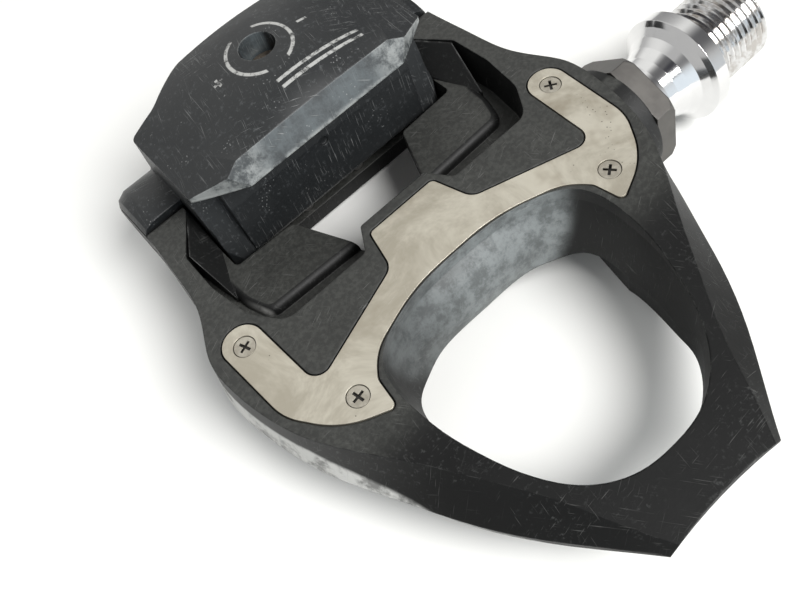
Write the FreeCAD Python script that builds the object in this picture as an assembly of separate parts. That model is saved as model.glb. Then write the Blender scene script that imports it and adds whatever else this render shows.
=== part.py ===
import FreeCAD, Part

import math
import os

# Right-hand, one-sided road clipless pedal, in millimetres.
# Shapes are drawn about the platform's middle plane: x = 0 on that plane, +X away from the crank,
# +Y towards the nose, +Z up, and y = z = 0 on the spindle's axis. write_parts() then moves everything
# outboard by SPINDLE_LENGTH, so that the row's origin is the flange face that seats on the crank.

V = FreeCAD.Vector
X_AXIS = V(1, 0, 0)
Y_AXIS = V(0, 1, 0)
Z_AXIS = V(0, 0, 1)
SIDE_TURN = FreeCAD.Matrix(0, 0, 1, 0, 1, 0, 0, 0, 0, 1, 0, 0, 0, 0, 0, 1)     # (x, y, z) to (z, x, y)
BIG = 60.0

# Spindle
SPINDLE_LENGTH = 52.0           # crank seat to the platform's middle plane
THREAD_R = 7.14                 # 9/16 in
THREAD_PITCH = 1.27             # 20 threads per inch
THREAD_LENGTH = 12.2
THREAD_DEPTH = 0.72
THREAD_LEAD = 0.95              # from the end to the first groove
THREAD_GROOVES = 8
FLANGE_R = 9.24
NECK_R = 5.65
JOURNAL_R = 4.4
SHAFT_R = 4.1
END_R = 3.5
HEX_SOCKET = 8.0                # across flats

# Platform and plate
PLATE_TOP = 9.5
PLATE_T = 1.2
PLATE_GAP = 0.25
REAR_SCREW = (29.6, -6.65)
FRONT_SCREW = (23.3, 10.5)
SCREW_HEAD_R = 1.55
SCREW_SHANK_R = 0.95
POCKET_FLOOR = 4.2
DITCH_FLOOR = 2.5               # the channel round each pocket's pad
FLOOR_T = 3.2

# Barrel and bearings
BARREL_R = 9.3
BARREL_IN = -36.4               # inboard face
BARREL_OUT = 31.6
BARREL_WALL = 0.95              # left round the bore where the loop's opening scoops into the barrel
SLEEVE_R = 6.95
BORE_GAP = 0.05
HEX_AF = 17.0
HEX_FACE = -40.2
NEEDLE_R = 0.65
NEEDLE_COUNT = 20
NEEDLE_X = (-32.5, -21.5)
BALL_R = 1.19                   # 3/32 in
BALL_COUNT = 12
BALL_PITCH_R = 5.0
BALL_ROWS = (6.0, 20.0)
NUT_SPACE_R = 6.1

# Claw
PIN_Y = -38.5
PIN_Z = 0.5
PIN_R = 2.0
EYE_R = 8.4                     # rounded end of each body arm
SKIRT_IN = 8.8
SKIRT_OUT = 10.5
WELL_X = 22.2                   # half the gap between the arms
CHEEK_X = 21.8
CAVITY_X = 17.3
ARM_X = 29.4
BOLT_TOP = V(0, -35.0, 24.2)    # where the screw's axis meets the claw's roof
BOLT_TILT = 12.0                # degrees the screw leans forward as it goes down
BOLT_R = 2.0
BOLT_HEAD_R = 2.45
HEAD_DEPTH = 2.7                # below the roof
HEAD_T = 2.1
SHANK_LENGTH = 20.5
PLATE_DEPTH = 22.3
BOLT_AXIS = V(0, -math.sin(math.radians(BOLT_TILT)), math.cos(math.radians(BOLT_TILT)))

# Springs
COIL_R = 5.0
WIRE_R = 1.0
BEND_R = 1.08                   # the slightly fuller bend where a leg leaves the coil
COIL_TURNS = 3.5
COIL_PITCH = 2.3
COIL_START = 5.6
LOWER_LEG = 9.0
UPPER_LEG = 10.2
CROSSBAR_TOP = PIN_Z - COIL_R - WIRE_R - 0.05


# ---------------------------------------------------------------- drawing helpers

def mirrored(half):
    """A closed outline from its +X half, listed from one point on the middle plane to the other."""
    other = [(-p[0],) + tuple(p[1:]) for p in reversed(half) if p[0] > 1e-6]
    return half + other


def corner_arc(before, corner, after, radius):
    """The tangent arc that rounds a corner."""
    to_before = (before - corner).normalize()
    to_after = (after - corner).normalize()
    half_angle = to_before.getAngle(to_after) / 2
    reach = radius / math.tan(half_angle)
    middle = (to_before + to_after).normalize()
    centre = corner + middle * (radius / math.sin(half_angle))
    return Part.Arc(corner + to_before * reach, centre - middle * radius, corner + to_after * reach)


def rounded_wire(corners, z=0.0):
    """A closed wire through (x, y, radius) corners; radius 0 or left out keeps the corner sharp."""
    points = [V(c[0], c[1], z) for c in corners]
    edges = []
    ends = []
    for i, corner in enumerate(corners):
        radius = corner[2] if len(corner) > 2 else 0
        if radius:
            arc = corner_arc(points[i - 1], points[i], points[(i + 1) % len(points)], radius)
            ends.append((arc.StartPoint, arc.EndPoint, arc))
        else:
            ends.append((points[i], points[i], None))
    for i, (start, end, arc) in enumerate(ends):
        if arc:
            edges.append(arc.toShape())
        following = ends[(i + 1) % len(ends)][0]
        if end.distanceToPoint(following) > 1e-6:
            edges.append(Part.LineSegment(end, following).toShape())
    return Part.Wire(Part.__sortEdges__(edges))


def prism(corners, z0, z1):
    """A plan outline extruded upwards."""
    return Part.Face(rounded_wire(corners, z0)).extrude(V(0, 0, z1 - z0))


def side_prism(corners, x0, x1):
    """A side outline of (y, z, radius) corners extruded along X."""
    return prism(corners, x0, x1).transformed(SIDE_TURN)


def box(x0, x1, y0, y1, z0, z1):
    return Part.makeBox(x1 - x0, y1 - y0, z1 - z0, V(x0, y0, z0))


def x_cylinder(radius, x0, x1, y=0.0, z=0.0):
    return Part.makeCylinder(radius, x1 - x0, V(x0, y, z), X_AXIS)


def x_turned(profile):
    """A solid of revolution about the spindle's axis from (x, radius) points."""
    points = [V(x, r, 0) for x, r in profile]
    wire = Part.makePolygon(points + [points[0]])
    return Part.Face(wire).revolve(V(0, 0, 0), X_AXIS, 360)


def hexagon(across_flats, x0, x1, first_angle=0.0):
    """A hexagonal bar along X."""
    radius = across_flats / math.sqrt(3)
    angles = [math.radians(first_angle + 60 * k) for k in range(6)]
    points = [V(x0, radius * math.cos(a), radius * math.sin(a)) for a in angles]
    return Part.Face(Part.makePolygon(points + [points[0]])).extrude(V(x1 - x0, 0, 0))


def spline_ring(half, z):
    """A smooth closed wire through the half outline and its mirror image."""
    points = [V(x, y, z) for x, y in mirrored(half)]
    curve = Part.BSplineCurve()
    curve.interpolate(Points=points, PeriodicFlag=True)
    return Part.Wire(curve.toShape())


def cut_each(solid, tools):
    for tool in tools:
        solid = solid.cut(tool)
    return solid


def both_sides(shape):
    return [shape, shape.mirror(V(0, 0, 0), X_AXIS)]


# ---------------------------------------------------------------- body

# Half-widths of the body from nose to pin: distance forward, then the half-width at the heights in
# OUTLINE_HEIGHTS. The side profile trims this form above and below.
OUTLINE_HEIGHTS = (9.5, 2.5, -9.5)
BODY_OUTLINE = [
    (49.2, 3.4, 9.8, 9.0),
    (45.2, 5.4, 12.9, 11.6),
    (37.0, 9.6, 19.4, 17.0),
    (29.1, 16.9, 24.4, 21.8),
    (22.0, 23.2, 28.0, 25.2),
    (16.0, 28.0, 31.0, 28.0),
    (10.0, 31.6, 33.4, 30.2),
    (4.0, 33.6, 34.9, 31.4),
    (-3.0, 34.7, 35.9, 31.9),
    (-8.5, 34.4, 35.4, 31.3),
    (-12.5, 32.7, 33.6, 30.0),
    (-17.0, 30.9, 31.6, 28.8),
    (-24.0, 30.0, 30.6, 28.2),
    (-31.0, 29.4, 29.9, 28.2),
    (-40.0, 29.0, 29.4, 28.4),
]
NOSE_HOLLOW = 0.6               # how far the nose edge curves in
BODY_SIDE = [
    (49.6, 3.9), (16.5, 9.5, 60.0), (-8.0, 9.5, 200.0), (-33.9, 9.2), (-34.1, 8.0), (-38.5, 8.0),
    (-38.5, -7.9),
    (-20.0, -7.2, 40.0), (-2.0, -9.4, 40.0), (19.0, -6.0, 60.0), (49.6, 2.1),
]

# The loop's opening, rear to front: the lip, the foot of the scooped face, and the straight shaft.
OPENING = [
    (0, 4.1), (5, 4.3), (10, 5.1), (14.6, 6.7), (17.7, 9.0), (19.1, 12.2), (19.3, 17.0), (18.8, 21.5),
    (17.6, 26.0), (16.0, 30.3), (14.3, 33.6), (12.1, 36.6), (8.8, 39.3), (5.0, 40.9), (0, 41.4),
]
OPENING_FOOT = [
    (0, 7.5), (5, 7.6), (9.5, 8.2), (13.2, 9.7), (16.4, 11.8), (17.5, 14.6), (17.5, 18.5), (16.9, 22.5),
    (15.8, 26.5), (14.7, 30.3), (13.6, 33.4), (11.7, 36.2), (8.5, 38.8), (4.8, 40.3), (0, 40.8),
]
OPENING_SHAFT = [
    (0, 8.8), (5, 8.9), (9.5, 9.4), (13.0, 10.8), (15.8, 13.0), (16.9, 15.8), (17.35, 19.5), (16.8, 23.6),
    (15.7, 27.8), (14.9, 30.5), (14.1, 33.2), (12.0, 36.3), (8.7, 39.0), (4.9, 40.6), (0, 41.0),
]
UNDERCUT = [
    (0, 1.5), (12.5, 1.5, 3.0), (19.6, 7.6, 2.5), (19.9, 10.5), (17.4, 19.5), (0, 19.5),
]
SCOOP_LEVELS = (7.0, 5.6, 3.6, 1.4, -0.6, -2.5)     # from the foot of the lip to the face's lower edge
SCOOP_R = 8.05                  # the face bulges round the barrel at this radius

POCKETS = [
    (0, -9.4), (6.2, -9.4, 0.6), (8.6, -5.4, 1.2), (23.0, -5.4, 3.0), (26.3, -10.6, 5.0), (27.4, -18.0, 8.0),
    (27.2, -25.6, 2.0), (22.3, -33.0, 0.8), (21.0, -60.0), (0, -60.0),
]
PAD = [
    (3.0, -10.9), (23.6, -11.7, 2.6), (25.2, -16.4, 6.0), (25.8, -25.0, 2.5), (20.0, -33.6), (20.0, -60.0),
    (3.0, -60.0),
]
PAD_SHOULDER = 1.3
# The two facets that fall from each arm's ridge to the claw's cheek and to the pad.
ARM_FACETS = [
    [V(22.0, -33.6, 9.0), V(26.7, -25.4, 9.3), V(22.0, -27.0, 4.6)],
    [V(26.7, -25.4, 9.3), V(25.5, -18.0, 3.8), V(22.0, -27.0, 4.6)],
]
WELL = [
    (0, -9.6), (6.3, -9.6, 0.3), (7.2, -11.6, 0.6), (11.5, -21.9, 1.0), (WELL_X, -22.4, 0.8), (WELL_X, -60.0),
    (0, -60.0),
]
UNDER_FLOOR = [
    (0, -11.4), (26.0, -11.4, 3.0), (25.6, -23.0, 2.0), (0, -23.0),
]

PLATE = [
    (0, 3.75), (7.5, 3.8, 28.0), (17.6, 7.3, 9.0), (20.0, 10.6, 2.0), (20.7, 15.3, 0.8), (27.6, 12.3, 13.0),
    (32.0, 5.6, 8.0), (32.7, -10.0, 2.9), (26.6, -10.0, 2.9), (26.0, 5.6, 2.2), (7.7, -0.8, 2.6),
    (6.0, -7.45, 0.8), (0, -7.45),
]


def body_ring(column, z):
    """One level of the body's plan: a hollow nose edge, two smooth sides and a straight rear."""
    right = [V(row[column], row[0], z) for row in BODY_OUTLINE]
    left = [V(-p.x, p.y, z) for p in right]
    nose = Part.Arc(left[0], V(0, BODY_OUTLINE[0][0] - NOSE_HOLLOW, z), right[0])
    sides = []
    for points in (right, left[::-1]):
        curve = Part.BSplineCurve()
        curve.interpolate(Points=points)
        sides.append(curve.toShape())
    rear = Part.LineSegment(right[-1], left[-1])
    return Part.Wire([nose.toShape(), sides[0], rear.toShape(), sides[1]])


def body_shell():
    """The outer form: sides that flare and then tuck in, trimmed to the side profile."""
    rings = [body_ring(k + 1, z) for k, z in enumerate(OUTLINE_HEIGHTS)]
    upper = Part.makeLoft(rings[:2], True, True)
    lower = Part.makeLoft(rings[1:], True, True)
    return upper.fuse(lower).common(side_prism(BODY_SIDE, -BIG, BIG))


def scoop_ring(z):
    """A level of the scooped face: between lip and foot, but never inside the bulge of the barrel."""
    top, bottom = SCOOP_LEVELS[0], SCOOP_LEVELS[-1]
    share = (top - z) / (top - bottom)
    bulge = math.sqrt(SCOOP_R ** 2 - z ** 2)
    points = []
    for lip, foot in zip(OPENING, OPENING_FOOT):
        x = lip[0] + (foot[0] - lip[0]) * share
        y = lip[1] + (foot[1] - lip[1]) * share
        points.append((x, max(y, bulge)))
    return spline_ring(points, z)


def opening_tool():
    """The loop's opening: a straight lip, a scooped face, a straight shaft and the undercut barrel."""
    lip = Part.Face(spline_ring(OPENING, SCOOP_LEVELS[0])).extrude(V(0, 0, BIG))
    scoop = Part.makeLoft([scoop_ring(z) for z in SCOOP_LEVELS], True, False)
    shaft = Part.Face(spline_ring(OPENING_SHAFT, SCOOP_LEVELS[0] - 0.01)).extrude(V(0, 0, -BIG))
    undercut = prism(mirrored(UNDERCUT), -BIG, SCOOP_LEVELS[-1])
    return [lip, scoop, shaft, undercut.cut(x_cylinder(SLEEVE_R + BARREL_WALL, -BIG, BIG))]


def pad():
    """The +X pocket's raised pad, with the facets that run down to it from the arm."""
    block = prism(PAD, -5.0, POCKET_FLOOR)
    rim = [e for e in block.Edges if e.BoundBox.ZMin > POCKET_FLOOR - 0.01 and e.BoundBox.XMax > 20.1]
    solid = block.makeFillet(PAD_SHOULDER, rim)
    for corners in ARM_FACETS:
        solid = solid.fuse(Part.Face(Part.makePolygon(corners + corners[:1])).extrude(V(0, 0, -8.0)))
    return solid


def plate_outline(gap=0.0):
    wire = rounded_wire(mirrored(PLATE), PLATE_TOP - PLATE_T)
    return wire.makeOffset2D(gap, 0) if gap else wire


def screw_places():
    places = []
    for x, y in (REAR_SCREW, FRONT_SCREW):
        places += [V(x, y, 0), V(-x, y, 0)]
    return places


def pedal_body():
    shell = body_shell()
    eyes = both_sides(x_cylinder(EYE_R, WELL_X, ARM_X, PIN_Y, PIN_Z))
    barrel = x_cylinder(BARREL_R, BARREL_IN, BARREL_OUT)
    crossbar = box(-24, 24, -33, -28.7, CROSSBAR_TOP - 3, CROSSBAR_TOP)
    pocket = cut_each(prism(mirrored(POCKETS), DITCH_FLOOR, BIG), both_sides(pad()))
    well = prism(mirrored(WELL), -BIG, BIG)
    hollow = prism(mirrored(UNDER_FLOOR), -BIG, POCKET_FLOOR - FLOOR_T)
    solid = cut_each(shell, [pocket, well, hollow])
    solid = cut_each(solid.fuse(barrel), opening_tool())
    for piece in eyes + [crossbar]:
        solid = solid.fuse(piece)
    tools = [Part.Face(plate_outline(PLATE_GAP)).extrude(V(0, 0, BIG))]
    tools.append(x_cylinder(SLEEVE_R + BORE_GAP, BARREL_IN - 1, BALL_ROWS[1] + 1))
    tools.append(x_cylinder(NUT_SPACE_R, 0, 30.0))
    tools.append(x_cylinder(PIN_R + 0.03, -ARM_X - 1, ARM_X + 1, PIN_Y, PIN_Z))
    for place in screw_places():
        tools.append(Part.makeCylinder(SCREW_SHANK_R, 5.5, place + V(0, 0, PLATE_TOP - 5.5)))
    return cut_each(solid, tools)


def body_plate():
    plate = Part.Face(plate_outline()).extrude(V(0, 0, PLATE_T))
    tools = []
    for place in screw_places():
        seat = place + V(0, 0, PLATE_TOP - 0.9)
        tools.append(Part.makeCylinder(SCREW_HEAD_R + 0.12, 2, seat))
        tools.append(Part.makeCylinder(SCREW_SHANK_R + 0.1, 4, place + V(0, 0, PLATE_TOP - 3)))
    return plate.cut(tools)


def cross_screw(place, turn):
    """A small flat-headed screw with a cross recess."""
    top = PLATE_TOP - 0.12
    head = Part.makeCylinder(SCREW_HEAD_R, 0.74, place + V(0, 0, top - 0.74))
    shank = Part.makeCylinder(SCREW_SHANK_R - 0.03, 4.4, place + V(0, 0, top - 5.0))
    solid = head.fuse(shank)
    for angle in (turn, turn + 90):
        slot = Part.makeBox(1.9, 0.42, 0.55, place + V(-0.95, -0.21, top - 0.5))
        slot.rotate(place, Z_AXIS, angle)
        solid = solid.cut(slot)
    return solid


def plate_screws():
    turns = (20, 55, 10, 35)
    return Part.makeCompound([cross_screw(p, a) for p, a in zip(screw_places(), turns)])


# ---------------------------------------------------------------- sleeve, seal and bearings

def lock_bolt():
    """The hexagon sleeve: screwed into the barrel, it holds the needle bearing and the seal."""
    hexa = hexagon(HEX_AF, HEX_FACE, BARREL_IN, 36.3)
    chamfer = x_turned([
        (HEX_FACE - 1, 0), (HEX_FACE - 1, 8.6), (HEX_FACE + 1.0, 9.9), (BARREL_IN, 9.9), (BARREL_IN, 0),
    ])
    sleeve = x_cylinder(SLEEVE_R, BARREL_IN, -15.0)
    bore = x_turned([
        (HEX_FACE - 1, 0), (HEX_FACE - 1, 6.98), (-38.0, 6.98), (-38.0, 6.0), (NEEDLE_X[0] - 0.6, 6.0),
        (NEEDLE_X[0] - 0.6, 6.3), (-14.0, 6.3), (-14.0, 0),
    ])
    return hexa.common(chamfer).fuse(sleeve).cut(bore).removeSplitter()


def axle_seal():
    """A rubber ring with a lip towards the neck."""
    return x_turned([
        (-40.0, 6.95), (-38.05, 6.95), (-38.05, 5.95), (-38.6, 5.72), (-39.2, 5.72), (-39.5, 6.3),
        (-40.0, 6.3),
    ])


def needle_shell():
    x0 = NEEDLE_X[0] - 0.5
    x1 = NEEDLE_X[1] + 0.5
    inner = JOURNAL_R + 0.02 + 2 * NEEDLE_R + 0.03
    outer = 6.26
    return x_turned([
        (x0, outer), (x1, outer), (x1, 5.1), (x1 - 0.4, 5.1), (x1 - 0.4, inner), (x0 + 0.4, inner),
        (x0 + 0.4, 5.1), (x0, 5.1),
    ])


def around_axis(shape, count):
    copies = []
    for k in range(count):
        copy = shape.copy()
        copy.rotate(V(0, 0, 0), X_AXIS, 360.0 * k / count)
        copies.append(copy)
    return Part.makeCompound(copies)


def needle_rollers():
    pitch_r = JOURNAL_R + 0.02 + NEEDLE_R
    return around_axis(x_cylinder(NEEDLE_R, NEEDLE_X[0], NEEDLE_X[1], pitch_r), NEEDLE_COUNT)


def balls(row):
    return around_axis(Part.makeSphere(BALL_R, V(BALL_ROWS[row], BALL_PITCH_R, 0)), BALL_COUNT)


def race(row):
    return Part.makeTorus(BALL_PITCH_R, BALL_R + 0.03, V(BALL_ROWS[row], 0, 0), X_AXIS)


def bearing_tube():
    """The hardened tube with a ball race in each end."""
    x0 = BALL_ROWS[0] - 0.4
    x1 = BALL_ROWS[1] + 0.4
    tube = x_turned([
        (x0, SLEEVE_R), (x1, SLEEVE_R), (x1, 5.6), (x1 - 2.8, 5.2), (x1 - 4.0, 5.9), (x0 + 4.0, 5.9),
        (x0 + 2.8, 5.2), (x0, 5.6),
    ])
    return tube.cut([race(0), race(1)])


def cone(row, side):
    """A cone ring; side is +1 when its body lies outboard of the balls."""
    x = BALL_ROWS[row]
    ring = x_turned([
        (x - 0.4 * side, END_R + 0.03), (x + 2.6 * side, END_R + 0.03), (x + 2.6 * side, 4.8),
        (x + 1.0 * side, 4.8), (x - 0.4 * side, 4.4),
    ])
    return ring.cut(race(row))


def lock_washer():
    x = BALL_ROWS[1] + 2.65
    return x_turned([(x, END_R + 0.05), (x + 0.8, END_R + 0.05), (x + 0.8, 5.4), (x, 5.4)])


def lock_nut():
    x = BALL_ROWS[1] + 3.5
    nut = hexagon(9.0, x, x + 3.6, 10)
    return nut.cut(x_cylinder(END_R + 0.02, x - 1, x + 5))


def thread_profile(start):
    """(x, radius) points of the crank thread, drawn as V grooves at its pitch."""
    points = []
    for k in range(THREAD_GROOVES):
        x = start + THREAD_LEAD + k * THREAD_PITCH
        points += [
            (x, THREAD_R), (x + 0.40 * THREAD_PITCH, THREAD_R - THREAD_DEPTH),
            (x + 0.48 * THREAD_PITCH, THREAD_R - THREAD_DEPTH), (x + 0.86 * THREAD_PITCH, THREAD_R),
        ]
    return points


def spindle():
    seat = -SPINDLE_LENGTH
    end = seat - THREAD_LENGTH
    shoulder = BALL_ROWS[0] - 2.65
    axle = x_turned([(end, 0), (end, THREAD_R - 0.8), (end + 0.8, THREAD_R)] + thread_profile(end) + [
        (seat, THREAD_R), (seat, FLANGE_R - 0.25), (seat + 0.25, FLANGE_R), (seat + 2.6, FLANGE_R),
        (seat + 3.2, FLANGE_R - 0.8), (seat + 4.2, FLANGE_R - 1.9), (seat + 5.6, FLANGE_R - 2.8),
        (seat + 7.4, NECK_R + 0.15), (seat + 9.2, NECK_R), (NEEDLE_X[0] - 1.4, NECK_R),
        (NEEDLE_X[0] - 0.8, JOURNAL_R), (NEEDLE_X[1] + 0.8, JOURNAL_R), (NEEDLE_X[1] + 2.2, SHAFT_R),
        (shoulder, SHAFT_R), (shoulder, END_R), (BALL_ROWS[1] + 8.0, END_R),
        (BALL_ROWS[1] + 8.6, END_R - 0.6), (BALL_ROWS[1] + 8.6, 0),
    ])
    socket = hexagon(HEX_SOCKET, end - 1, end + 8.5, 15)
    mouth = x_turned([(end - 0.01, 0), (end - 0.01, 5.1), (end + 0.7, 4.3), (end + 0.7, 0)])
    return cut_each(axle, [socket, mouth])


# ---------------------------------------------------------------- claw

CLAW_SIDE = [
    (-20.4, 17.8, 0.15), (-25.3, 26.0), (-44.2, 26.0), (-48.4, 12.0, 14.0), (-49.0, 0.5),
    (-46.6, -6.0, 3.0), (-43.0, -8.4, 1.0),
    (-38.5, -7.2, 3.0), (-24.4, 1.2, 0.8), (-29.2, 14.4, 0.6), (-27.2, 17.0, 0.8),
]
CLAW_PLAN = [
    (0, -19.0), (14.4, -19.0, 0.1), (14.4, -20.6, 0.3), (21.9, -25.6, 0.3), (21.7, -41.8, 0.8),
    (16.4, -42.0, 4.0), (10.0, -45.3, 9.0), (4.0, -46.5, 10.0), (0, -46.6),
]
# The roof is crowned between two straight creases, beyond which each wing slopes evenly to its cheek.
CREASE_FRONT = V(14.0, -22.6, 21.5)
CREASE_REAR = V(21.7, -41.5, 18.5)
WING_SLOPE = 0.428
ROOF_T = 2.4
WING_REACH = 28.0
ROOF_CENTRE = [
    (-19.5, 20.2), (-22.6, 21.6), (-24.4, 22.6), (-26.8, 23.5), (-31.0, 24.2), (-35.0, 24.25), (-39.0, 24.0),
    (-43.0, 23.1), (-47.0, 21.6), (-51.0, 19.6),
]
CLAW_PLAN_LOW = [
    (0, -19.0), (14.4, -19.0, 0.1), (14.4, -20.6, 0.3), (21.8, -25.6, 0.3), (21.8, -48.0, 0.8),
    (15.5, -49.0, 6.0), (6.0, -49.2, 12.0), (0, -49.2),
]
CAVITY_SIDE = [
    (-27.1, 3.0, 1.0), (-28.2, 15.0, 1.0), (-30.5, 20.8, 1.5), (-38.6, 20.6, 2.0), (-40.4, 16.0, 4.0),
    (-46.2, 7.0, 6.0), (-46.7, 0.5), (-46.6, -30.0), (-27.1, -30.0),
]
REAR_TOP_Z = 17.5               # height at which the claw's rear wall starts to lean back
REAR_LOW_Z = 6.0


def bolt_cylinder(radius, start, length):
    """A cylinder on the tension screw's axis; start is how far below the roof its top lies."""
    base = BOLT_TOP - BOLT_AXIS * (start + length)
    return Part.makeCylinder(radius, length, base, BOLT_AXIS)


def skirt(x0, x1):
    """The claw's lower skirt: a curved wall that wraps the end of a body arm."""
    ring = x_cylinder(SKIRT_OUT, x0, x1, PIN_Y, PIN_Z).cut(x_cylinder(SKIRT_IN, x0 - 1, x1 + 1, PIN_Y, PIN_Z))
    keep = side_prism([
        (PIN_Y + 4.6, PIN_Z + 14.0), (PIN_Y + 3.4, PIN_Z + 6.0), (PIN_Y, PIN_Z), (PIN_Y - 8.0, PIN_Z - 10.5),
        (PIN_Y - 14.0, PIN_Z - 10.5), (PIN_Y - 14.0, PIN_Z + 14.0),
    ], x0 - 2, x1 + 2)
    corner = x_turned([
        (x1 + 1, 0), (x1 + 1, 20), (x0, 20), (x0, 11.0), (x1 - 2.4, 10.55), (x1 - 0.7, 9.8), (x1, 8.6),
    ])
    corner.translate(V(0, PIN_Y, PIN_Z))
    return ring.common(keep).cut(corner)


def roof_section(y, height):
    """A slice of everything below the roof: crown, wing slopes, sides and floor."""
    share = (CREASE_FRONT.y - y) / (CREASE_FRONT.y - CREASE_REAR.y)
    crease = CREASE_FRONT + (CREASE_REAR - CREASE_FRONT) * share
    tip = V(WING_REACH, y, crease.z - WING_SLOPE * (WING_REACH - crease.x))
    foot = V(WING_REACH, y, -20.0)
    right = [crease, tip, foot]
    left = [V(-p.x, p.y, p.z) for p in right]
    crown = Part.BezierCurve()
    crown.setPoles([left[0], V(0, y, 2 * height - crease.z), crease])
    path = right + left[::-1]
    sides = [Part.LineSegment(a, b).toShape() for a, b in zip(path, path[1:])]
    return Part.Wire([crown.toShape()] + sides)


def claw():
    side = side_prism(CLAW_SIDE, -CHEEK_X - 1, CHEEK_X + 1)
    roofline = Part.makeLoft([roof_section(y, z) for y, z in ROOF_CENTRE], True, False)
    roof = prism(mirrored(CLAW_PLAN), REAR_TOP_Z, BIG)
    rings = [rounded_wire(mirrored(CLAW_PLAN), REAR_TOP_Z), rounded_wire(mirrored(CLAW_PLAN_LOW), REAR_LOW_Z)]
    waist = Part.makeLoft(rings, True, True)
    foot = prism(mirrored(CLAW_PLAN_LOW), -BIG, REAR_LOW_Z)
    solid = side.common(roofline).common(roof.fuse(waist).fuse(foot))
    wall = side_prism([
        (-24.4, 1.2, 0.6), (-24.9, 6.6, 0.5), (-25.4, 11.0, 1.0), (-26.8, 16.0, 0.5), (-26.8, 18.5),
        (-29.6, 18.5),
        (-29.6, 3.0), (-28.0, 1.2),
    ], -CAVITY_X - 0.5, CAVITY_X + 0.5)
    ceiling = roofline.copy()
    ceiling.translate(V(0, 0, -ROOF_T))
    cavity = side_prism(CAVITY_SIDE, -CAVITY_X, CAVITY_X).common(ceiling)
    solid = solid.fuse(wall).cut(cavity)
    mark = Part.makeCylinder(0.75, 6.0, V(0, -25.7, 10.3), Y_AXIS)
    skirts = both_sides(skirt(CAVITY_X, ARM_X))
    boss = bolt_cylinder(5.2, 2.0, 8.6)
    solid = solid.cut(mark).fuse(skirts + [boss])
    tools = [
        bolt_cylinder(BOLT_HEAD_R + 0.4, -5.0, 5.05 + HEAD_DEPTH + HEAD_T),
        bolt_cylinder(BOLT_R + 0.15, 0, 27.0),
        x_cylinder(PIN_R + 0.04, -ARM_X - 2, ARM_X + 2, PIN_Y, PIN_Z),
    ]
    return solid.cut(tools).removeSplitter()


def claw_pin():
    return x_cylinder(PIN_R, -ARM_X + 0.1, ARM_X - 0.1, PIN_Y, PIN_Z)


def spring_sleeve():
    tube = x_cylinder(3.4, -CAVITY_X + 0.3, CAVITY_X - 0.3, PIN_Y, PIN_Z)
    return tube.cut(x_cylinder(PIN_R + 0.04, -CAVITY_X, CAVITY_X, PIN_Y, PIN_Z))


def torsion_spring():
    """The +X spring: a coil about the pin with one leg on the crossbar and one on the tension plate."""
    height = COIL_TURNS * COIL_PITCH
    helix = Part.makeHelix(COIL_PITCH, height, COIL_R)
    start = Part.Wire(Part.makeCircle(WIRE_R, V(COIL_R, 0, 0), Y_AXIS))
    coil = Part.Wire(helix.Edges).makePipeShell([start], True, True)
    spring = coil
    for place, length in ((V(COIL_R, 0, 0), LOWER_LEG), (V(-COIL_R, 0, height), UPPER_LEG)):
        spring = spring.fuse(Part.makeSphere(BEND_R, place))
        spring = spring.fuse(Part.makeCylinder(WIRE_R, length, place, V(0, -1, 0)))
    spring = spring.mirror(V(0, 0, 0), Y_AXIS)
    spring.rotate(V(0, 0, 0), Y_AXIS, 90)
    spring.translate(V(COIL_START, PIN_Y, PIN_Z))
    return spring


def tension_bolt():
    head = bolt_cylinder(BOLT_HEAD_R, HEAD_DEPTH, HEAD_T)
    shank = bolt_cylinder(BOLT_R - 0.05, HEAD_DEPTH + HEAD_T, SHANK_LENGTH)
    key = hexagon(2.5, -1.4, 1.4)
    key.rotate(V(0, 0, 0), Y_AXIS, 90)
    key.rotate(V(0, 0, 0), X_AXIS, BOLT_TILT)
    key.translate(BOLT_TOP - BOLT_AXIS * HEAD_DEPTH)
    return head.fuse(shank).cut(key)


def tension_plate():
    plate = box(-16.0, 16.0, -2.0, 2.2, -1.4, 1.4)
    plate.rotate(V(0, 0, 0), X_AXIS, BOLT_TILT)
    plate.translate(BOLT_TOP - BOLT_AXIS * PLATE_DEPTH)
    return plate.cut(bolt_cylinder(BOLT_R + 0.02, 15.0, 12.0))


# ---------------------------------------------------------------- output

def write_parts():
    spring = torsion_spring()
    parts = {
        "pedal_body": pedal_body(),
        "body_plate": body_plate(),
        "plate_screws": plate_screws(),
        "lock_bolt": lock_bolt(),
        "axle_seal": axle_seal(),
        "needle_shell": needle_shell(),
        "needle_rollers": needle_rollers(),
        "bearing_tube": bearing_tube(),
        "inner_balls": balls(0),
        "outer_balls": balls(1),
        "inner_cone": cone(0, -1),
        "outer_cone": cone(1, 1),
        "lock_washer": lock_washer(),
        "lock_nut": lock_nut(),
        "spindle": spindle(),
        "claw": claw(),
        "claw_pin": claw_pin(),
        "spring_sleeve": spring_sleeve(),
        "tension_bolt": tension_bolt(),
        "tension_plate": tension_plate(),
        "spring_outboard": spring,
        "spring_inboard": spring.mirror(V(0, 0, 0), X_AXIS),
    }
    os.makedirs("parts", exist_ok=True)
    for name, shape in parts.items():
        shape = shape.copy()
        shape.translate(V(SPINDLE_LENGTH, 0, 0))
        shape.exportStep("parts/%s.step" % name)
        box_ = shape.BoundBox
        print(name, shape.isValid(), len(shape.Solids), round(shape.Volume, 1),
              [round(v, 1) for v in (box_.XMin, box_.XMax, box_.YMin, box_.YMax, box_.ZMin, box_.ZMax)])


write_parts()
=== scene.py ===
import math

import bpy
from mathutils import Matrix, Vector


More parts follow.
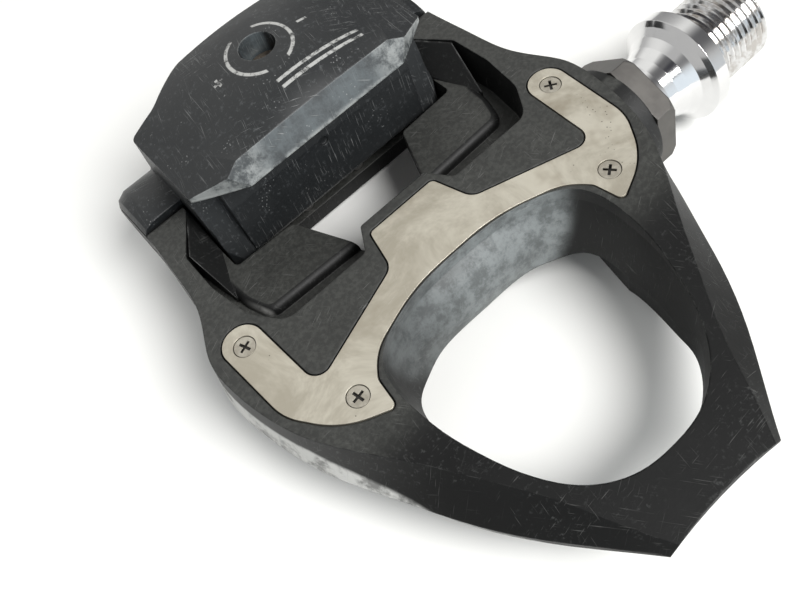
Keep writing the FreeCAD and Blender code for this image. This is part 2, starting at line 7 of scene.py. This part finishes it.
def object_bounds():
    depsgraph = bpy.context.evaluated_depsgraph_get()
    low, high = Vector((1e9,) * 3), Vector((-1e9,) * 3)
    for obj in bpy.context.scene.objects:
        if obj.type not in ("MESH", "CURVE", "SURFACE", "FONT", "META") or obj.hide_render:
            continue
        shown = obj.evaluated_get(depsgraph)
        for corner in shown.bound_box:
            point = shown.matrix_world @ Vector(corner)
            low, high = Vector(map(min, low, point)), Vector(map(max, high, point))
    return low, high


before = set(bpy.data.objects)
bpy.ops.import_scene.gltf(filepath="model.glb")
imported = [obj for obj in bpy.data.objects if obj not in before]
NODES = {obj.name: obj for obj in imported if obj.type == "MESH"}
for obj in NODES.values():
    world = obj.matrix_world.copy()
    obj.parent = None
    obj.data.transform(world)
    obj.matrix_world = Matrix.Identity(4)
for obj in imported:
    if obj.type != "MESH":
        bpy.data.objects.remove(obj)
cad_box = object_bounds()

MM = 0.001

# Places on the pedal in millimetres: X runs outboard from the crank seat, Y to the nose and Z up.
MIDDLE = 52                     # the platform's middle plane, along X
SCREW_TOP = 9.3
DIAL_Y = -34.5                  # centre of the printed dial on the claw's roof
DIAL_IN, DIAL_OUT = 4.75, 5.45  # radii of its ring
SIGN_X = 7.8                    # the plus and minus signs lie this far from its centre
STRIPES_Y = -26.8               # halfway between the two printed stripes
STRIPES_GAP = 0.6               # from there to each stripe
STRIPES_FROM, STRIPES_TO = -12.5, 2.2   # their ends, from the middle plane

# Camera
CAMERA_PLACE = Vector((84.65, 59.85, 105.93)) * MM
CAMERA_RIGHT = Vector((-0.7347, 0.6469, -0.2044))
CAMERA_FORWARD = Vector((-0.1965, -0.4913, -0.8485))
CAMERA_LENS = 38.25


# ---------------------------------------------------------------- shader helpers

class Shader:
    """A material's node tree, with short calls for the nodes that the finishes share.

    Lengths are in millimetres; the scale of a noise is in cycles per metre.
    """

    def __init__(self, name):
        self.material = bpy.data.materials.new(name)
        self.material.use_nodes = True
        self.tree = self.material.node_tree
        self.tree.nodes.clear()
        self.out = self.add("ShaderNodeOutputMaterial")
        self.bsdf = self.add("ShaderNodeBsdfPrincipled")
        self.link(self.bsdf.outputs["BSDF"], self.out.inputs["Surface"])
        self.coords = self.add("ShaderNodeTexCoord")
        self.place = self.coords.outputs["Object"]
        self.normal = self.coords.outputs["Normal"]

    def add(self, kind, **settings):
        node = self.tree.nodes.new(kind)
        for key, value in settings.items():
            setattr(node, key, value)
        return node

    def link(self, source, target):
        self.tree.links.new(source, target)

    def feed(self, socket, value):
        if isinstance(value, bpy.types.NodeSocket):
            self.link(value, socket)
        elif isinstance(value, tuple) and len(value) == 3 and socket.type == "RGBA":
            socket.default_value = (*value, 1)
        else:
            socket.default_value = value

    def math(self, operation, *values):
        node = self.add("ShaderNodeMath", operation=operation)
        for socket, value in zip(node.inputs, values):
            self.feed(socket, value)
        return node.outputs[0]

    def mapped(self, scale=(1, 1, 1), shift=(0, 0, 0)):
        node = self.add("ShaderNodeMapping")
        self.link(self.place, node.inputs["Vector"])
        node.inputs["Scale"].default_value = scale
        node.inputs["Location"].default_value = shift
        return node.outputs[0]

    def noise(self, scale, detail=2.0, roughness=0.5, source=None, distortion=0.0):
        node = self.add("ShaderNodeTexNoise")
        self.link(source or self.place, node.inputs["Vector"])
        node.inputs["Scale"].default_value = scale
        node.inputs["Detail"].default_value = detail
        node.inputs["Roughness"].default_value = roughness
        node.inputs["Distortion"].default_value = distortion
        return node.outputs["Fac"]

    def cells(self, scale):
        node = self.add("ShaderNodeTexVoronoi")
        self.link(self.place, node.inputs["Vector"])
        node.inputs["Scale"].default_value = scale
        return node.outputs["Distance"]

    def band(self, value, low, high):
        """0 below low and 1 above high, or the reverse when low is above high."""
        node = self.add("ShaderNodeMapRange", interpolation_type="SMOOTHSTEP")
        self.feed(node.inputs["Value"], value)
        node.inputs["From Min"].default_value = min(low, high)
        node.inputs["From Max"].default_value = max(low, high)
        node.inputs["To Min"].default_value = 0.0 if low < high else 1.0
        node.inputs["To Max"].default_value = 1.0 if low < high else 0.0
        return node.outputs[0]

    def zone(self, coordinate, low, high):
        """A band of a coordinate, between limits in millimetres."""
        return self.band(coordinate, low * MM, high * MM)

    def span(self, value, low, high):
        """A value from 0 to 1 stretched to the range from low to high."""
        node = self.add("ShaderNodeMapRange")
        self.feed(node.inputs["Value"], value)
        node.inputs["To Min"].default_value = low
        node.inputs["To Max"].default_value = high
        return node.outputs[0]

    def offset(self, coordinate, place):
        """A coordinate measured from a place in millimetres."""
        return self.math("SUBTRACT", coordinate, place * MM)

    def size(self, value):
        return self.math("ABSOLUTE", value)

    def blend(self, factor, first, second):
        node = self.add("ShaderNodeMix", data_type="RGBA")
        self.feed(node.inputs["Factor"], factor)
        self.feed(node.inputs["A"], first)
        self.feed(node.inputs["B"], second)
        return node.outputs["Result"]

    def coats(self, base, *layers):
        """Each layer, a mask with its strength and colour, painted over the ones before."""
        for mask, strength, colour in layers:
            base = self.blend(self.both(mask, strength), base, colour)
        return base

    def axes(self, source=None):
        node = self.add("ShaderNodeSeparateXYZ")
        self.link(source or self.place, node.inputs[0])
        return node.outputs

    def both(self, *values):
        """Every mask at once: their product."""
        total = values[0]
        for value in values[1:]:
            total = self.math("MULTIPLY", total, value)
        return total

    def either(self, *values):
        total = values[0]
        for value in values[1:]:
            total = self.math("MAXIMUM", total, value)
        return total

    def soft_normal(self, radius):
        """The surface's normal with its sharp edges rounded."""
        bevel = self.add("ShaderNodeBevel", samples=6)
        bevel.inputs["Radius"].default_value = radius * MM
        return bevel.outputs[0]

    def edges(self, radius, reach=0.35):
        """A mask that is 1 along sharp edges and corners."""
        geometry = self.add("ShaderNodeNewGeometry")
        dot = self.add("ShaderNodeVectorMath", operation="DOT_PRODUCT")
        self.link(self.soft_normal(radius), dot.inputs[0])
        self.link(geometry.outputs["Normal"], dot.inputs[1])
        return self.band(self.math("SUBTRACT", 1.0, dot.outputs["Value"]), 0.01, reach)

    def scratches(self, turn, length, width, density, patch, seed):
        """Fine straight scratches along one direction, gathered in patches."""
        lines = self.add("ShaderNodeMapping", vector_type="TEXTURE")
        self.link(self.place, lines.inputs["Vector"])
        lines.inputs["Scale"].default_value = (length * MM, width * MM, length * MM)
        lines.inputs["Rotation"].default_value = (0, 0, math.radians(turn))
        lines.inputs["Location"].default_value = (seed * MM, seed * 2 * MM, 0)
        fine = self.noise(1.0, 1.0, 0.4, source=lines.outputs[0])
        strokes = self.band(fine, 0.5 + density, 0.56 + density)
        where = self.noise(1 / (patch * MM), 2.0, 0.6, source=self.mapped(shift=(seed, 0, 0)))
        return self.both(strokes, self.band(where, 0.48, 0.62))

    def bump(self, height, distance, strength, soft_edge=None):
        node = self.add("ShaderNodeBump")
        node.inputs["Distance"].default_value = distance * MM
        node.inputs["Strength"].default_value = strength
        self.feed(node.inputs["Height"], height)
        if soft_edge:
            self.link(self.soft_normal(soft_edge), node.inputs["Normal"])
        self.link(node.outputs[0], self.bsdf.inputs["Normal"])

    def finish(self, **sockets):
        for name, value in sockets.items():
            self.feed(self.bsdf.inputs[name.replace("_", " ")], value)
        return self.material


# ---------------------------------------------------------------- finishes

def flank_painted_reflection(s, x, y, z, nx):
    """A painted reflection of the white floor: a pale strip along the outboard flank, which sinks towards the
    nose.
    """
    ahead = s.math("MAXIMUM", s.offset(y, 10), 0.0)
    sunk = s.math("ADD", z, s.math("MULTIPLY", ahead, 0.26))
    patches = s.span(s.band(s.noise(230, 4, 0.7), 0.34, 0.54), 0.35, 1.0)
    return s.both(s.band(nx, 0.35, 0.7), s.zone(x, MIDDLE + 8, MIDDLE + 12), s.zone(sunk, 6.8, 6.0),
                  s.zone(z, -3.0, 0.6), s.zone(y, -18, -6), patches)


def opening_painted_highlight(s, x, y, ny):
    """A painted highlight on the rear face of the loop's opening: mottled grey, stronger towards the crank.
    """
    mottled = s.span(s.band(s.noise(380, 5, 0.75), 0.36, 0.62), 0.5, 1.0)
    strength = s.span(s.zone(x, MIDDLE + 14, MIDDLE - 2), 0.38, 0.9)
    return s.both(s.band(ny, 0.35, 0.75), s.zone(y, 2, 4), s.zone(y, 10.5, 8.5),
                  s.zone(s.size(s.offset(x, MIDDLE)), 19, 15), mottled, strength)


def resin():
    """Carbon-filled moulded resin: charcoal, finely flecked, scuffed, with a painted highlight in the
    opening, a painted floor reflection on the flank and painted sheen on the upward faces, and duller on the
    loop.
    """
    s = Shader("resin_black")
    x, y, z = s.axes()
    nx, ny, nz = s.axes(s.normal)
    cloud = s.noise(55, 4, 0.6)
    grain = s.noise(1500, 3, 0.7)
    flecks = s.both(s.band(grain, 0.55, 0.72), s.band(s.noise(140, 3, 0.65), 0.38, 0.68))
    strokes = s.either(
        s.scratches(28, 4.5, 0.11, 0.19, 14, 3.1),
        s.scratches(-52, 3.2, 0.10, 0.19, 10, 7.7),
        s.scratches(83, 5.0, 0.11, 0.20, 12, 12.3),
        s.scratches(5, 2.6, 0.12, 0.19, 9, 21.9),
    )
    outside = s.either(s.zone(z, 7.0, 8.2), s.zone(y, 20, 34))
    wear = s.both(s.edges(0.4), outside, s.band(s.noise(520, 3, 0.7), 0.42, 0.66))
    # Upward faces back from the nose; a coat below lightens them with painted sheen and rub marks mottled by
    # grain.
    top = s.both(s.band(nz, 0.985, 0.998), s.zone(y, 24, 14))
    rub_and_sheen = s.both(s.span(s.band(grain, 0.40, 0.62), 0.6, 1.0), s.span(s.noise(190, 4, 0.7), 0.4, 1.2))
    base = s.coats(
        s.blend(cloud, (0.0034, 0.0036, 0.0036), (0.0082, 0.0084, 0.0082)),
        (flecks, 0.55, (0.060, 0.062, 0.061)),
        # painted highlight on the rear face of the loop's opening
        (opening_painted_highlight(s, x, y, ny), 1.0, (0.205, 0.222, 0.222)),
        (wear, 0.5, (0.17, 0.172, 0.165)),
        # painted reflection of the floor along the outboard flank
        (flank_painted_reflection(s, x, y, z, nx), 0.9, (0.52, 0.52, 0.50)),
        (strokes, 0.32, (0.15, 0.15, 0.145)),
        # upward faces lightened: painted sheen with rub marks
        (s.both(top, rub_and_sheen), 1.0, (0.048, 0.049, 0.045)),
        (s.both(top, strokes), 0.45, (0.16, 0.16, 0.155)),
    )
    gloss = s.span(s.zone(y, 26, 8), 0.15, 0.42)
    s.bump(s.math("ADD", grain, s.math("MULTIPLY", strokes, -0.6)), 0.03, 0.6, 0.35)
    return s.finish(Base_Color=base, Roughness=s.span(s.noise(160, 4, 0.65), 0.44, 0.62), IOR=1.45,
                    Specular_IOR_Level=gloss)


def plate_steel():
    """Stainless wear plate: warm satin steel, blotched, stained and pitted by cleats."""
    s = Shader("plate_steel")
    x, y = s.axes()[:2]
    blotch = s.noise(90, 5, 0.7, distortion=0.5)
    fine = s.noise(1100, 3, 0.65)
    strokes = s.either(s.scratches(12, 4.0, 0.09, 0.18, 15, 1.7), s.scratches(65, 3.5, 0.09, 0.18, 12, 5.2))
    inboard = s.both(s.zone(x, MIDDLE - 22, MIDDLE - 28), s.zone(y, -4, 1))
    pitted = s.either(s.both(s.band(s.noise(210, 2, 0.5), 0.64, 0.70), 0.8),
                      s.both(inboard, s.band(s.noise(300, 2, 0.5), 0.50, 0.56)))
    pits = s.both(s.band(s.cells(1700), 0.20, 0.08), pitted)
    stain = s.band(s.noise(60, 4, 0.7, s.mapped(shift=(0.3, 0.1, 0))), 0.52, 0.68)
    base = s.coats(
        s.blend(s.band(blotch, 0.36, 0.64), (0.43, 0.395, 0.322), (0.62, 0.585, 0.495)),
        (stain, 0.6, (0.30, 0.255, 0.19)),
        (pits, 0.9, (0.035, 0.030, 0.024)),
        (strokes, 0.3, (0.66, 0.64, 0.59)),
    )
    uneven = s.math("ADD", s.math("MULTIPLY", blotch, 0.6), s.math("MULTIPLY", fine, 0.4))
    s.bump(s.math("SUBTRACT", fine, s.math("MULTIPLY", pits, 2.0)), 0.014, 0.6, 0.12)
    return s.finish(Base_Color=base, Metallic=0.8, Roughness=s.span(uneven, 0.38, 0.56))


def screw_steel():
    """Small screw heads: dull steel, with painted shade in the cross recess."""
    s = Shader("screw_steel")
    z = s.axes()[2]
    cloud = s.noise(700, 4, 0.65)
    # painted shade: below the head's top face, in the cross recess, painted near black and not metallic;
    # along the edges, darker patches at half strength
    recess_shade_and_edges = s.either(s.zone(z, SCREW_TOP, SCREW_TOP - 0.15),
                    s.both(s.edges(0.12, 0.3), s.band(cloud, 0.35, 0.6), 0.5))
    base = s.coats(
        s.blend(s.band(cloud, 0.3, 0.7), (0.36, 0.33, 0.275), (0.52, 0.49, 0.42)),
        (recess_shade_and_edges, 1.0, (0.012, 0.010, 0.008)),
    )
    s.bump(cloud, 0.01, 0.5, 0.08)
    return s.finish(Base_Color=base, Metallic=s.span(recess_shade_and_edges, 0.85, 0.0), Roughness=s.span(cloud, 0.35, 0.55))


def simple_metal(name, light, dark, low, high, scale=400, edge=0.12, metallic=1.0):
    """A machined or drawn metal: blotched colour, uneven gloss and fine handling marks."""
    s = Shader(name)
    cloud = s.noise(scale, 4, 0.65)
    strokes = s.scratches(35, 6, 0.08, 0.16, 8, 2.4)
    bright = tuple(min(1.0, 1.4 * channel) for channel in light)
    base = s.coats(s.blend(s.band(cloud, 0.3, 0.7), dark, light), (strokes, 0.35, bright))
    s.bump(s.math("ADD", s.noise(2500, 2, 0.5), strokes), 0.006, 0.5, edge)
    return s.finish(Base_Color=base, Metallic=metallic, Roughness=s.span(cloud, low, high))


def printed_marks(s, x, y):
    """A plain dial, a broken ring between a plus and a minus sign, and two plain stripes."""
    across = s.offset(x, MIDDLE)
    along = s.offset(y, DIAL_Y)
    reach = s.math("SQRT", s.math("ADD", s.math("POWER", across, 2.0), s.math("POWER", along, 2.0)))
    ring = s.both(s.zone(reach, DIAL_IN, DIAL_IN + 0.15), s.zone(reach, DIAL_OUT, DIAL_OUT - 0.15),
                  s.zone(s.size(across), 1.8, 2.0))

    def stroke(lengthwise, sideways):
        return s.both(s.zone(lengthwise, 0.9, 0.75), s.zone(sideways, 0.28, 0.20))

    from_sign = s.size(s.offset(s.size(across), SIGN_X))
    from_row = s.size(along)
    level = stroke(from_sign, from_row)
    upright = s.both(stroke(from_row, from_sign), s.zone(across, -1, 1))
    from_stripe = s.size(s.offset(s.size(s.offset(y, STRIPES_Y)), STRIPES_GAP))
    stripes = s.both(s.zone(from_stripe, 0.30, 0.22), s.zone(across, STRIPES_FROM, STRIPES_FROM + 0.3),
                     s.zone(across, STRIPES_TO, STRIPES_TO - 0.3))
    return s.either(ring, level, upright, stripes)


def claw_paint():
    """Dark enamel on the cast claw: mottled chamfer with a painted cool reflection and bare ends, chipped
    edges and partly missing print.
    """
    s = Shader("claw_paint")
    x, y, z = s.axes()
    ny, nz = s.axes(s.normal)[1:]
    cloud = s.noise(70, 4, 0.65)
    grain = s.noise(1300, 3, 0.7)
    mottle = s.noise(260, 5, 0.75)
    streaks = s.noise(1.0, 3, 0.65, source=s.mapped((1400, 60, 140)))
    specks = s.both(s.band(s.cells(1900), 0.26, 0.10), s.band(s.noise(260, 2, 0.6), 0.56, 0.66))
    strokes = s.either(
        s.scratches(84, 6.0, 0.11, 0.18, 14, 4.4),
        s.scratches(70, 4.0, 0.10, 0.18, 10, 9.1),
        s.scratches(-20, 3.0, 0.10, 0.20, 12, 15.0),
    )
    chamfer = s.both(s.band(ny, 0.5, 0.75), s.zone(z, 17.2, 17.6))
    # forward-facing chamfer: mottled wear with a painted cool reflection of the bright area beyond the nose
    chamfer_wear_and_reflection = s.both(chamfer, s.span(streaks, 0.45, 1.0), s.span(s.band(mottle, 0.32, 0.62), 0.35, 1.3))
    ends = s.zone(s.size(s.offset(x, MIDDLE)), 8.5, 13.5)
    bare = s.both(chamfer, s.either(s.zone(z, 18.6, 17.8), s.both(ends, 0.8)), s.band(mottle, 0.36, 0.58))
    chipped = s.both(s.edges(0.4), s.zone(z, 16.0, 17.5), s.band(s.noise(800, 3, 0.7), 0.38, 0.62))
    roof = s.both(s.band(nz, 0.75, 0.85), s.zone(z, 18.5, 19.5))
    ink = s.both(printed_marks(s, x, y), roof, s.band(s.noise(650, 4, 0.75), 0.34, 0.52))
    base = s.coats(
        s.blend(cloud, (0.0070, 0.0080, 0.0086), (0.0165, 0.018, 0.019)),
        (s.band(grain, 0.55, 0.72), 0.4, (0.080, 0.085, 0.088)),
        # painted cool reflection on the chamfer, mottled with wear
        (chamfer_wear_and_reflection, 1.0, (0.066, 0.078, 0.083)),
        (bare, 0.7, (0.33, 0.34, 0.33)),
        (chipped, 0.55, (0.27, 0.275, 0.27)),
        (s.either(specks, strokes), 0.5, (0.28, 0.285, 0.28)),
        (ink, 0.85, (0.42, 0.42, 0.405)),
    )
    s.bump(s.math("ADD", grain, s.math("MULTIPLY", strokes, -0.6)), 0.02, 0.5, 0.3)
    return s.finish(Base_Color=base, Roughness=s.span(s.noise(240, 4, 0.65), 0.36, 0.55), IOR=1.48)


def chrome():
    """Bright chrome, with grime in the crank thread."""
    s = Shader("axle_chrome")
    x = s.axes()[0]
    cloud = s.noise(220, 3, 0.6)
    grime = s.both(s.zone(x, -0.5, -2.0), s.band(s.noise(500, 3, 0.7), 0.40, 0.62))
    clean = s.blend(cloud, (0.66, 0.66, 0.665), (0.78, 0.775, 0.77))
    base = s.coats(clean, (grime, 0.55, (0.34, 0.30, 0.26)))
    s.bump(s.noise(500, 2, 0.5), 0.004, 0.4, 0.1)
    return s.finish(Base_Color=base, Metallic=1.0, Roughness=s.span(cloud, 0.06, 0.15))


def rubber():
    s = Shader("seal_rubber")
    base = s.blend(s.noise(300, 3, 0.6), (0.012, 0.012, 0.012), (0.03, 0.03, 0.028))
    s.bump(s.noise(3000, 2, 0.5), 0.01, 0.5)
    return s.finish(Base_Color=base, Roughness=s.span(s.noise(500, 2, 0.5), 0.55, 0.75))


FINISHES = {
    "resin": resin(),
    "plate": plate_steel(),
    "screw": screw_steel(),
    "sleeve": simple_metal("sleeve_aluminium", (0.125, 0.119, 0.112), (0.09, 0.086, 0.081), 0.38, 0.52, 150,
                           0.2, 0.9),
    "rubber": rubber(),
    "bearing": simple_metal("bearing_steel", (0.66, 0.66, 0.66), (0.56, 0.56, 0.56), 0.12, 0.22),
    "washer": simple_metal("washer_steel", (0.52, 0.52, 0.50), (0.42, 0.42, 0.41), 0.3, 0.45),
    "chrome": chrome(),
    "claw": claw_paint(),
    "bolt": simple_metal("bolt_steel", (0.30, 0.25, 0.20), (0.16, 0.13, 0.11), 0.4, 0.6, 900),
    "spring": simple_metal("spring_steel", (0.36, 0.35, 0.34), (0.26, 0.25, 0.24), 0.25, 0.4, 600),
    "pin": simple_metal("pin_steel", (0.50, 0.49, 0.47), (0.36, 0.35, 0.33), 0.3, 0.45),
}
NODE_FINISH = {
    "pedal_body": "resin", "body_plate": "plate", "plate_screws": "screw", "lock_bolt": "sleeve",
    "axle_seal": "rubber", "needle_shell": "bearing", "needle_rollers": "bearing", "bearing_tube": "bearing",
    "inner_balls": "bearing", "outer_balls": "bearing", "inner_cone": "bearing", "outer_cone": "bearing",
    "lock_washer": "washer", "lock_nut": "washer", "spindle": "chrome", "claw": "claw", "claw_pin": "pin",
    "spring_sleeve": "resin", "tension_bolt": "bolt", "tension_plate": "washer",
    "spring_outboard": "spring", "spring_inboard": "spring",
}
for name, finish in NODE_FINISH.items():
    data = NODES[name].data
    data.materials.clear()
    data.materials.append(FINISHES[finish])


# ---------------------------------------------------------------- room, lights and camera

ROOM = (0.60, 0.60, 0.595)
# Areas of the room, each painted over the ones before: direction, full and fading angles, colour.
ROOM_AREAS = [
    ((-0.65, 0.05, 0.75), 16, 44, (0.14, 0.14, 0.145)),     # dim above the crank side
    ((-0.2, -0.58, 0.79), 24, 50, (1.05, 1.05, 1.03)),      # bright above the tail
    ((0.1, 1, 0.10), 20, 52, (1.05, 1.15, 1.23)),           # bright and cool beyond the nose
    ((-0.9, -0.4, 0.2), 12, 40, (0.08, 0.08, 0.09)),        # dark beyond the crank
    ((-0.12, 0.15, 0.98), 12, 38, (0.16, 0.16, 0.165)),     # dim overhead
    ((0.20, 0.49, 0.85), 12, 26, (0.05, 0.05, 0.06)),       # dark where the viewer stands
]
KEY_PLACE = (-0.12, 0.46, 0.58)
KEY_SIZE = 0.40
KEY_POWER = 7.6
KEY_COLOUR = (1, 0.995, 0.985)
FLOOR_HALF = 1.2
FLOOR_GAP = 0.02                # millimetres between the floor and the pedal's lowest point


def floor():
    low = cad_box[0].z - FLOOR_GAP * MM
    corners = [(i * FLOOR_HALF, j * FLOOR_HALF, low) for i, j in [(-1, -1), (1, -1), (1, 1), (-1, 1)]]
    mesh = bpy.data.meshes.new("floor")
    mesh.from_pydata(corners, [], [(0, 1, 2, 3)])
    plane = bpy.data.objects.new("floor", mesh)
    bpy.context.scene.collection.objects.link(plane)
    s = Shader("floor_white")
    base = s.blend(s.noise(9, 3, 0.5), (0.86, 0.86, 0.835), (0.90, 0.90, 0.885))
    mesh.materials.append(s.finish(Base_Color=base, Roughness=0.6, Specular_IOR_Level=0.2))


def key_lamp():
    """A soft round lamp above and ahead of the nose, aimed at the platform."""
    data = bpy.data.lights.new("key", "AREA")
    data.shape = "DISK"
    data.size = KEY_SIZE
    data.energy = KEY_POWER
    data.color = KEY_COLOUR
    lamp = bpy.data.objects.new("key", data)
    bpy.context.scene.collection.objects.link(lamp)
    lamp.location = KEY_PLACE
    aim = Vector((MIDDLE * MM, 0, 0)) - Vector(KEY_PLACE)
    lamp.rotation_euler = aim.to_track_quat("-Z", "Y").to_euler()


def room():
    """A pale room with the bright and dark areas that the glossy faces mirror."""
    world = bpy.data.worlds.new("studio")
    bpy.context.scene.world = world
    world.use_nodes = True
    tree = world.node_tree
    background = tree.nodes["Background"]
    coords = tree.nodes.new("ShaderNodeTexCoord")

    def glow(direction, inner, outer):
        """1 within inner degrees of a direction, fading to 0 at outer degrees."""
        dot = tree.nodes.new("ShaderNodeVectorMath")
        dot.operation = "DOT_PRODUCT"
        dot.inputs[1].default_value = Vector(direction).normalized()
        tree.links.new(coords.outputs["Generated"], dot.inputs[0])
        fade = tree.nodes.new("ShaderNodeMapRange")
        fade.interpolation_type = "SMOOTHSTEP"
        fade.inputs["From Min"].default_value = math.cos(math.radians(outer))
        fade.inputs["From Max"].default_value = math.cos(math.radians(inner))
        tree.links.new(dot.outputs["Value"], fade.inputs["Value"])
        return fade.outputs[0]

    colour = None
    for direction, inner, outer, shade in ROOM_AREAS:
        mix = tree.nodes.new("ShaderNodeMix")
        mix.data_type = "RGBA"
        mix.inputs["A"].default_value = (*ROOM, 1)
        mix.inputs["B"].default_value = (*shade, 1)
        tree.links.new(glow(direction, inner, outer), mix.inputs["Factor"])
        if colour:
            tree.links.new(colour, mix.inputs["A"])
        colour = mix.outputs["Result"]
    tree.links.new(colour, background.inputs["Color"])
    background.inputs["Strength"].default_value = 1.0


def camera():
    data = bpy.data.cameras.new("camera")
    data.lens = CAMERA_LENS
    data.sensor_width = 36
    data.clip_start = 0.005
    shot = bpy.data.objects.new("camera", data)
    bpy.context.scene.collection.objects.link(shot)
    forward = CAMERA_FORWARD.normalized()
    up = CAMERA_RIGHT.cross(forward).normalized()
    right = forward.cross(up)
    shot.matrix_world = Matrix.Translation(CAMERA_PLACE) @ Matrix((right, up, -forward)).transposed().to_4x4()
    bpy.context.scene.camera = shot


floor()
room()
key_lamp()
camera()
bpy.context.scene.view_settings.view_transform = "Standard"
